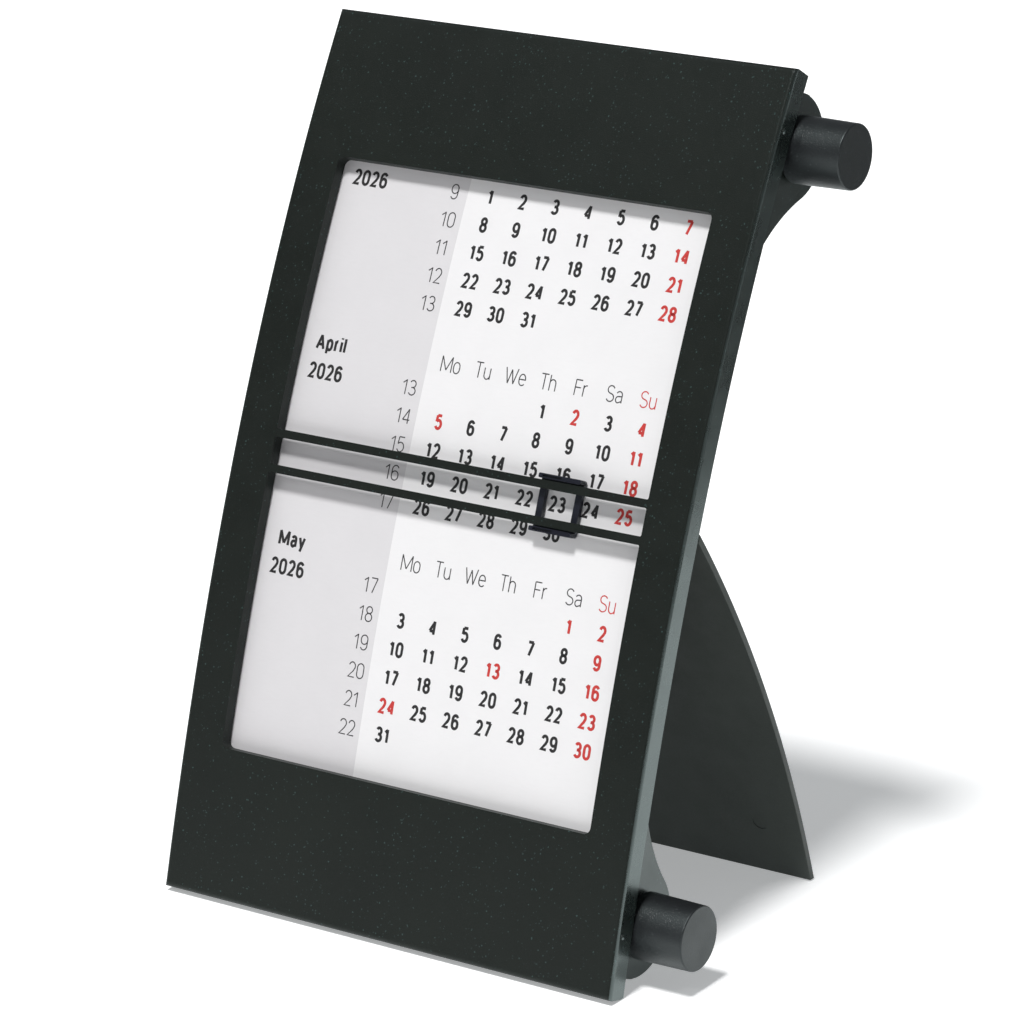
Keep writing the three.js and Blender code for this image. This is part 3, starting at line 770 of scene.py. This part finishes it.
def loop(cx, cy, rx, ry, straight=0):
    """Closed round stroke, with straight sides of that length."""
    lift = straight / 2
    top = curve(cx, cy + lift, rx, ry - lift, 0, 180)
    bottom = curve(cx, cy - lift, rx, ry - lift, 180, 360)
    ring = top + (bottom if straight else bottom[1:-1])
    return [*ring, ring[0]]


SIX = [loop(0.5, 0.31, 0.5, 0.31, 0.08),
       [(0, 0.31), (0, 0.68), *curve(0.5, 0.7, 0.5, 0.3, 180, 28)]]
# Each character: its width as a share of its height, and its pen strokes in a box from 0 to 1.
GLYPHS = {
    "0": (0.56, [loop(0.5, 0.5, 0.5, 0.5, 0.42)]),
    "1": (0.42, [[(0.72, 0), (0.72, 1)], [(0.72, 0.97), (0, 0.76)]]),
    "2": (0.55, [[*curve(0.5, 0.72, 0.48, 0.28, 165, -20), (0.74, 0.42), (0.02, 0), (1, 0)]]),
    "3": (0.55, [[*curve(0.48, 0.76, 0.45, 0.24, 155, -90), (0.3, 0.52)],
                 curve(0.48, 0.27, 0.52, 0.26, 88, -155)]),
    "4": (0.58, [[(0.76, 0), (0.76, 1)], [(0.76, 0.98), (0, 0.25)], [(0, 0.25), (1, 0.25)]]),
    "5": (0.55, [[(0.95, 1), (0.12, 1)], [(0.12, 1), (0.05, 0.52)],
                 curve(0.48, 0.32, 0.52, 0.32, 140, -155)]),
    "6": (0.56, SIX),
    "7": (0.54, [[(0, 1), (1, 1)], [(0.98, 1), (0.34, 0)]]),
    "8": (0.56, [loop(0.5, 0.77, 0.44, 0.23), loop(0.5, 0.27, 0.5, 0.27)]),
    "9": (0.56, [[(1 - x, 1 - y) for x, y in stroke] for stroke in SIX]),
    "A": (0.66, [[(0, 0), (0.5, 1)], [(0.5, 1), (1, 0)], [(0.17, 0.32), (0.83, 0.32)]]),
    "F": (0.5, [[(0, 0), (0, 1)], [(0, 1), (1, 1)], [(0, 0.52), (0.88, 0.52)]]),
    "M": (0.8, [[(0, 0), (0, 1)], [(0, 1), (0.5, 0.12)], [(0.5, 0.12), (1, 1)], [(1, 1), (1, 0)]]),
    "S": (0.56, [[*curve(0.5, 0.76, 0.46, 0.24, 25, 250), *curve(0.5, 0.25, 0.5, 0.25, 75, -155)]]),
    "T": (0.56, [[(0.5, 0), (0.5, 1)], [(0, 1), (1, 1)]]),
    "W": (0.92, [[(0, 1), (0.27, 0)], [(0.27, 0), (0.5, 0.9)], [(0.5, 0.9), (0.73, 0)],
                 [(0.73, 0), (1, 1)]]),
    "a": (0.48, [[*curve(0.5, 0.5, 0.48, 0.22, 155, 0), (0.98, 0)],
                 [(0.98, 0.42), *curve(0.42, 0.2, 0.42, 0.2, 95, 270), (0.98, 0.12)]]),
    "e": (0.5, [[(0, 0.38), (1, 0.38), *curve(0.5, 0.4, 0.5, 0.32, 0, 180),
                 *curve(0.5, 0.28, 0.5, 0.28, 180, 320)]]),
    "h": (0.48, [[(0, 0), (0, 1)], [(0, 0.44), *curve(0.5, 0.48, 0.5, 0.24, 180, 0), (1, 0)]]),
    "i": (0.1, [[(0.5, 0), (0.5, 0.72)], [(0.5, 0.92), (0.5, 1.03)]]),
    "l": (0.1, [[(0.5, 0), (0.5, 1)]]),
    "o": (0.5, [loop(0.5, 0.36, 0.5, 0.36, 0.16)]),
    "p": (0.5, [[(0, -0.28), (0, 0.72)], loop(0.5, 0.36, 0.5, 0.36, 0.14)]),
    "r": (0.34, [[(0, 0), (0, 0.72)], [(0, 0.45), *curve(0.75, 0.45, 0.75, 0.26, 180, 80)]]),
    "u": (0.48, [[(0, 0.72), (0, 0.26), *curve(0.5, 0.26, 0.5, 0.26, 180, 360)], [(1, 0.72), (1, 0)]]),
    "y": (0.52, [[(0, 0.72), (0.52, 0.02)], [(1, 0.72), (0.34, -0.28)]]),
}


class Print:
    """Collects pen strokes of one ink as flat ribbons on the paper."""

    def __init__(self, name, look):
        self.name, self.look = name, look
        self.vertices, self.faces = [], []

    def ribbon(self, points, pen):
        """One stroke of that pen width, as a closed thin bar with mitred turns."""
        points = [np.array(p, float) for p in points]
        points = [p for p, q in zip(points, points[1:] + [None])
                  if q is None or np.linalg.norm(q - p) > 1e-3]
        closed = np.allclose(points[0], points[-1]) and len(points) > 3
        if closed:
            points = points[:-1]
        n = len(points)
        base = len(self.vertices)
        for i, here in enumerate(points):
            before = points[i - 1] if closed or i else here - (points[1] - here)
            after = points[(i + 1) % n] if closed or i < n - 1 else here + (here - points[i - 1])
            way_in, way_out = (here - before), (after - here)
            way_in, way_out = way_in / np.linalg.norm(way_in), way_out / np.linalg.norm(way_out)
            normal = np.array([-(way_in + way_out)[1], (way_in + way_out)[0]])
            normal /= max(np.linalg.norm(normal), 1e-6)
            mitre = 1 / max(normal @ np.array([-way_in[1], way_in[0]]), 0.6)
            for side in (-1, 1):
                x, s = here + side * normal * mitre * pen / 2
                self.vertices += [(x, STRIP_FRONT - INK_THICK, s), (x, STRIP_FRONT, s)]
        for i in range(n if closed else n - 1):
            a, b = base + 4 * i, base + 4 * ((i + 1) % n)
            for p, q in ((0, 2), (2, 3), (3, 1), (1, 0)):
                self.faces.append((a + p, a + q, b + q, b + p))
        if not closed:
            last = base + 4 * (n - 1)
            self.faces += [(base, base + 1, base + 3, base + 2), (last, last + 2, last + 3, last + 1)]

    def text(self, words, x, s, height, pen, gap=0.3):
        """Words centred on x and standing on height s."""
        widths = [max(GLYPHS[c][0] * height, pen) for c in words]
        x -= (sum(widths) + gap * (len(words) - 1)) / 2
        for character, width in zip(words, widths):
            for stroke in GLYPHS[character][1]:
                self.ribbon([(x + pen / 2 + a * (width - pen), s + pen / 2 + b * (height - pen))
                             for a, b in stroke], pen)
            x += width + gap

    def settle(self):
        body = mesh_object(self.name, self.vertices, self.faces)
        points = place([v[2] for v in self.vertices], np.array([v[1] for v in self.vertices]))
        for vertex, (y, z) in zip(body.data.vertices, points):
            vertex.co = (vertex.co.x + CENTRE_X, y, z)
        return settle(body, "body", None, [self.look])


WEEKDAYS = ("Mo", "Tu", "We", "Th", "Fr", "Sa", "Su")
YEAR = "2026"
BOLD_PEN, LIGHT_PEN = 0.62, 0.25
# Heights along the front of each month's heading and of its first row of days.
UPPER_DAYS, MIDDLE_HEADING, MIDDLE_DAYS, LOWER_HEADING, LOWER_DAYS = 155.07, 119.3, 113.2, 77.4, 71.4


def print_month(black, light, red, first_row, weeks, first_column, days, holidays):
    """One month: first_row is the height of its first row of days, weeks the first week number
    and first_column the weekday of the 1st."""
    day = 1 - first_column
    row = 0
    while day <= days:
        s = first_row - row * ROW_PITCH - DIGIT_HEIGHT / 2
        light.text(str(weeks + row), WEEK_COLUMN, s, DIGIT_HEIGHT, LIGHT_PEN)
        for column in range(7):
            number = day + column
            if 1 <= number <= days:
                press = red if column == 6 or number in holidays else black
                x = FIRST_COLUMN + column * COLUMN_PITCH
                press.text(str(number), x, s, DIGIT_HEIGHT, BOLD_PEN)
        day += 7
        row += 1
    black.text(YEAR, TITLE_COLUMN, first_row - TITLE_HEIGHT / 2, TITLE_HEIGHT, BOLD_PEN)


def print_heading(black, light, red, name, s):
    black.text(name, TITLE_COLUMN, s - TITLE_HEIGHT / 2, TITLE_HEIGHT, BOLD_PEN)
    for column, word in enumerate(WEEKDAYS):
        press = red if word == WEEKDAYS[-1] else light
        x = FIRST_COLUMN + column * COLUMN_PITCH
        press.text(word, x, s - TITLE_HEIGHT / 2, TITLE_HEIGHT, LIGHT_PEN)


def printed_months():
    """Three months in view, the marker's week among them."""
    black = Print("print_black", LOOKS["black_ink"])
    light = Print("print_grey", LOOKS["grey_ink"])
    red = Print("print_red", LOOKS["red_ink"])
    print_month(black, light, red, UPPER_DAYS, 9, 0, 31, ())
    print_heading(black, light, red, "April", MIDDLE_HEADING)
    print_month(black, light, red, MIDDLE_DAYS, 13, 3, 30, (2, 5))
    print_heading(black, light, red, "May", LOWER_HEADING)
    print_month(black, light, red, LOWER_DAYS, 17, 5, 31, (1, 13, 24))
    for press in (black, light, red):
        press.settle()


# ---- Rollers -----------------------------------------------------------------------------------

def knob(name, axis):
    base = arc((KNOB_FROM + KNOB_BASE_ROUND, KNOB_RADIUS - KNOB_BASE_ROUND), KNOB_BASE_ROUND, 180, 90, 6)
    tip_radius = KNOB_RADIUS - KNOB_TAPER
    tip = arc((KNOB_TO - KNOB_BEVEL, tip_radius - KNOB_BEVEL), KNOB_BEVEL, 90, 0, 4)
    bore = JOURNAL_RADIUS + GAP
    profile = [(KNOB_FROM + KNOB_BORE_DEPTH, 0), (KNOB_FROM + KNOB_BORE_DEPTH, bore),
               (KNOB_FROM + 0.3, bore), (KNOB_FROM, bore + 0.3), *base, *tip, (KNOB_TO, 0)]
    body = across(turned(f"{name}_knob_skin", profile, axis, 128))
    return settle(body, f"{name}_roller", f"{name}_knob", [LOOKS["knob"]])


def spindle(name, axis):
    """Hexagonal plug in the core, journal in the ear and shank in the knob, in one moulding."""
    shoulder, end = CHEEK_INNER - GAP, KNOB_FROM + KNOB_BORE_DEPTH - GAP
    start, chamfer = box_mm(f"{name}_spindle")[0].x - CENTRE_X, 0.3
    shank = turned("shank", [
        (shoulder - 1, 0), (shoulder - 1, JOURNAL_RADIUS), (end - chamfer, JOURNAL_RADIUS),
        (end, JOURNAL_RADIUS - chamfer), (end, 0)], axis)
    plug = turned(f"{name}_spindle_skin", [
        (start, 0), (start, DRIVE_RADIUS - chamfer), (start + chamfer, DRIVE_RADIUS),
        (shoulder, DRIVE_RADIUS), (shoulder, 0)], axis, 6)
    body = across(join(plug, shank))
    return settle(body, f"{name}_roller", f"{name}_spindle", [LOOKS["spindle"]])


def core(name, axis):
    """Slotted tube; the slot faces the back and takes the paper's end."""
    low, high = box_mm(f"{name}_core")
    outer = (high.z - low.z) / 2
    opening, inner_opening = (math.degrees(math.asin(CORE_SLOT / 2 / r)) for r in (outer, CORE_BORE))
    outline = [*arc(axis, outer, opening, 360 - opening, 60),
               *arc(axis, CORE_BORE, 360 - inner_opening, inner_opening, 48)]
    body = prism(f"{name}_core_skin", outline, low.x, high.x)
    soften(body, 0.08, 1, sharper=60)
    return settle(body, f"{name}_roller", f"{name}_core", [LOOKS["core"]])


def coil(name, axis):
    """The paper already wound on, as one spiral sheet."""
    low, high = box_mm(f"{name}_coil")
    core_low, core_high = box_mm(f"{name}_core")
    inner, outer = (core_high.z - core_low.z) / 2 + GAP, (high.z - low.z) / 2
    thick, pitch = COIL_SHEET, COIL_PITCH
    turns = (outer - thick - inner) / pitch
    outline = []
    for side, order in ((thick, 1), (0, -1)):
        shares = np.linspace(0, 1, round(turns * 48))[::order]
        for share in shares:
            angle, radius = math.tau * turns * share, inner + side + pitch * turns * share
            outline.append((axis[0] + radius * math.cos(angle), axis[1] + radius * math.sin(angle)))
    body = prism(f"{name}_coil_skin", outline, low.x, high.x)
    return settle(body, f"{name}_roller", f"{name}_coil", [LOOKS["wound_paper"]])


def washer(name, axis):
    low, high = box_mm(f"{name}_friction_washer")
    radius, soft = (high.z - low.z) / 2, 0.2
    x0, x1 = low.x, high.x
    profile = [(x0, CORE_BORE), (x0, radius - soft), (x0 + soft, radius), (x1 - soft, radius),
               (x1, radius - soft), (x1, CORE_BORE)]
    body = turned(f"{name}_washer_skin", profile, axis)
    return settle(body, "body", f"{name}_friction_washer", [LOOKS["felt"]])


def hinge_pin(side):
    low, high = box_mm(f"hinge_pin_{side}")
    chamfer = 0.25
    profile = [(low.x, 0), (low.x, PIN_RADIUS - chamfer), (low.x + chamfer, PIN_RADIUS),
               (high.x - chamfer, PIN_RADIUS), (high.x, PIN_RADIUS - chamfer), (high.x, 0)]
    body = turned(f"hinge_pin_{side}_skin", profile, HINGE_AXIS, 40)
    return settle(body, "body", f"hinge_pin_{side}", [LOOKS["steel"]])


# ---- Stage -------------------------------------------------------------------------------------

CAMERA_FROM_FOOT = (549.33, -731.75, 394.42)   # from the middle of the frame's foot, in mm
CAMERA_AZIMUTH, CAMERA_PITCH, CAMERA_ROLL = 35.083, 18.231, -1.202
CAMERA_LENS, SENSOR = 170.1, 36
FLOOR_SIZE, FLOOR_DROP = 12, 0.0002          # in metres; the drop keeps it clear of the feet
FLOOR_GLOW = 0.35                            # the floor is a dimly lit light table
# Each lamp: azimuth, elevation and angular size in degrees, and strength.
KEY_LAMP = 0, 70, 11, 2.95
GLINT_LAMP = -32, 42, 4, 0.12
FLAG_NEAR, FLAG_FAR, FLAG_HALF, FLAG_HEIGHT = 0.3, 1.6, 1, 0.002


def lamp(name, azimuth, elevation, size, strength):
    """A distant lamp that shines from that azimuth and elevation towards the origin."""
    data = bpy.data.lights.new(name, "SUN")
    data.energy = strength
    data.angle = math.radians(size)
    obj = bpy.data.objects.new(name, data)
    bpy.context.scene.collection.objects.link(obj)
    a, e = math.radians(azimuth), math.radians(elevation)
    source = Vector((math.sin(a) * math.cos(e), -math.cos(a) * math.cos(e), math.sin(e)))
    obj.rotation_mode = "QUATERNION"
    obj.rotation_quaternion = source.to_track_quat("Z", "Y")
    obj.visible_camera = False


def camera():
    data = bpy.data.cameras.new("camera")
    data.lens, data.sensor_width = CAMERA_LENS, SENSOR
    data.clip_start, data.clip_end = 0.05, 40
    obj = bpy.data.objects.new("camera", data)
    bpy.context.scene.collection.objects.link(obj)
    a, p, r = (math.radians(v) for v in (CAMERA_AZIMUTH, CAMERA_PITCH, CAMERA_ROLL))
    ahead = Vector((-math.sin(a) * math.cos(p), math.cos(a) * math.cos(p), -math.sin(p)))
    level = Vector((math.cos(a), math.sin(a), 0))
    up = level.cross(ahead)
    right = math.cos(r) * level + math.sin(r) * up
    up = right.cross(ahead)
    at = (Vector((CENTRE_X, FOOT_Y, 0)) + Vector(CAMERA_FROM_FOOT)) * MM
    turn = Matrix((right, up, -ahead)).transposed().to_4x4()
    obj.matrix_world = Matrix.Translation(at) @ turn
    bpy.context.scene.camera = obj


def floor():
    half = FLOOR_SIZE / 2
    corners = [(-half, -half, 0), (half, -half, 0), (half, half, 0), (-half, half, 0)]
    obj = mesh_object("floor", corners, [(0, 1, 2, 3)])
    made = Shader("pale_floor", (0.96, 0.96, 0.96), 0.8, Specular_IOR_Level=0)
    made.colour(made.ramp(made.noise(400, 2), [(0.3, 0.95), (0.7, 0.97)]))
    made.set("Emission Color", (0.97, 0.99, 1, 1))
    made.set("Emission Strength", FLOOR_GLOW)
    obj.data.materials.append(made.material)
    obj.location.z = -FLOOR_DROP


def world():
    """A dim room, a little paler near the horizon than overhead."""
    made = bpy.data.worlds.new("studio")
    made.use_nodes = True
    nodes, links = made.node_tree.nodes, made.node_tree.links
    where = nodes.new("ShaderNodeTexCoord")
    parts = nodes.new("ShaderNodeSeparateXYZ")
    ramp = nodes.new("ShaderNodeValToRGB")
    low, high = ramp.color_ramp.elements
    low.position, low.color = 0, (0.32, 0.33, 0.34, 1)
    high.position, high.color = 0.3, (0.13, 0.135, 0.14, 1)
    links.new(where.outputs["Generated"], parts.inputs["Vector"])
    links.new(parts.outputs["Z"], ramp.inputs["Fac"])
    links.new(ramp.outputs["Color"], nodes["Background"].inputs["Color"])
    bpy.context.scene.world = made


def flag():
    """Dark card just above the floor, behind and to the right, seen only in reflections: it darkens
    the upper part of the side wall, as a dim far end of the table would."""
    half = FLAG_HALF
    corners = [(-half, FLAG_NEAR, 0), (half, FLAG_NEAR, 0), (half, FLAG_FAR, 0), (-half, FLAG_FAR, 0)]
    obj = mesh_object("flag", corners, [(0, 1, 2, 3)])
    card = Shader("flag_card", (0.12, 0.12, 0.12), 0.9)
    card.colour(card.ramp(card.noise(90, 2), [(0.3, 0.1), (0.7, 0.14)]))
    obj.data.materials.append(card.material)
    obj.location.z = FLAG_HEIGHT
    obj.rotation_euler.z = -math.radians(CAMERA_AZIMUTH)
    for ray in ("camera", "diffuse", "shadow", "transmission"):
        setattr(obj, f"visible_{ray}", False)


def stage():
    camera()
    floor()
    flag()
    world()
    lamp("key", *KEY_LAMP)
    lamp("glint", *GLINT_LAMP)
    bpy.context.scene.view_settings.view_transform = "Standard"


front_frame()
back_shell()
stand_leg()
date_marker()
paper_strip()
printed_months()
for roller, roller_axis in (("upper", UPPER_AXIS), ("lower", LOWER_AXIS)):
    knob(roller, roller_axis)
    spindle(roller, roller_axis)
    core(roller, roller_axis)
    coil(roller, roller_axis)
    washer(roller, roller_axis)
for hinge_side in ("left", "right"):
    hinge_pin(hinge_side)
stage()
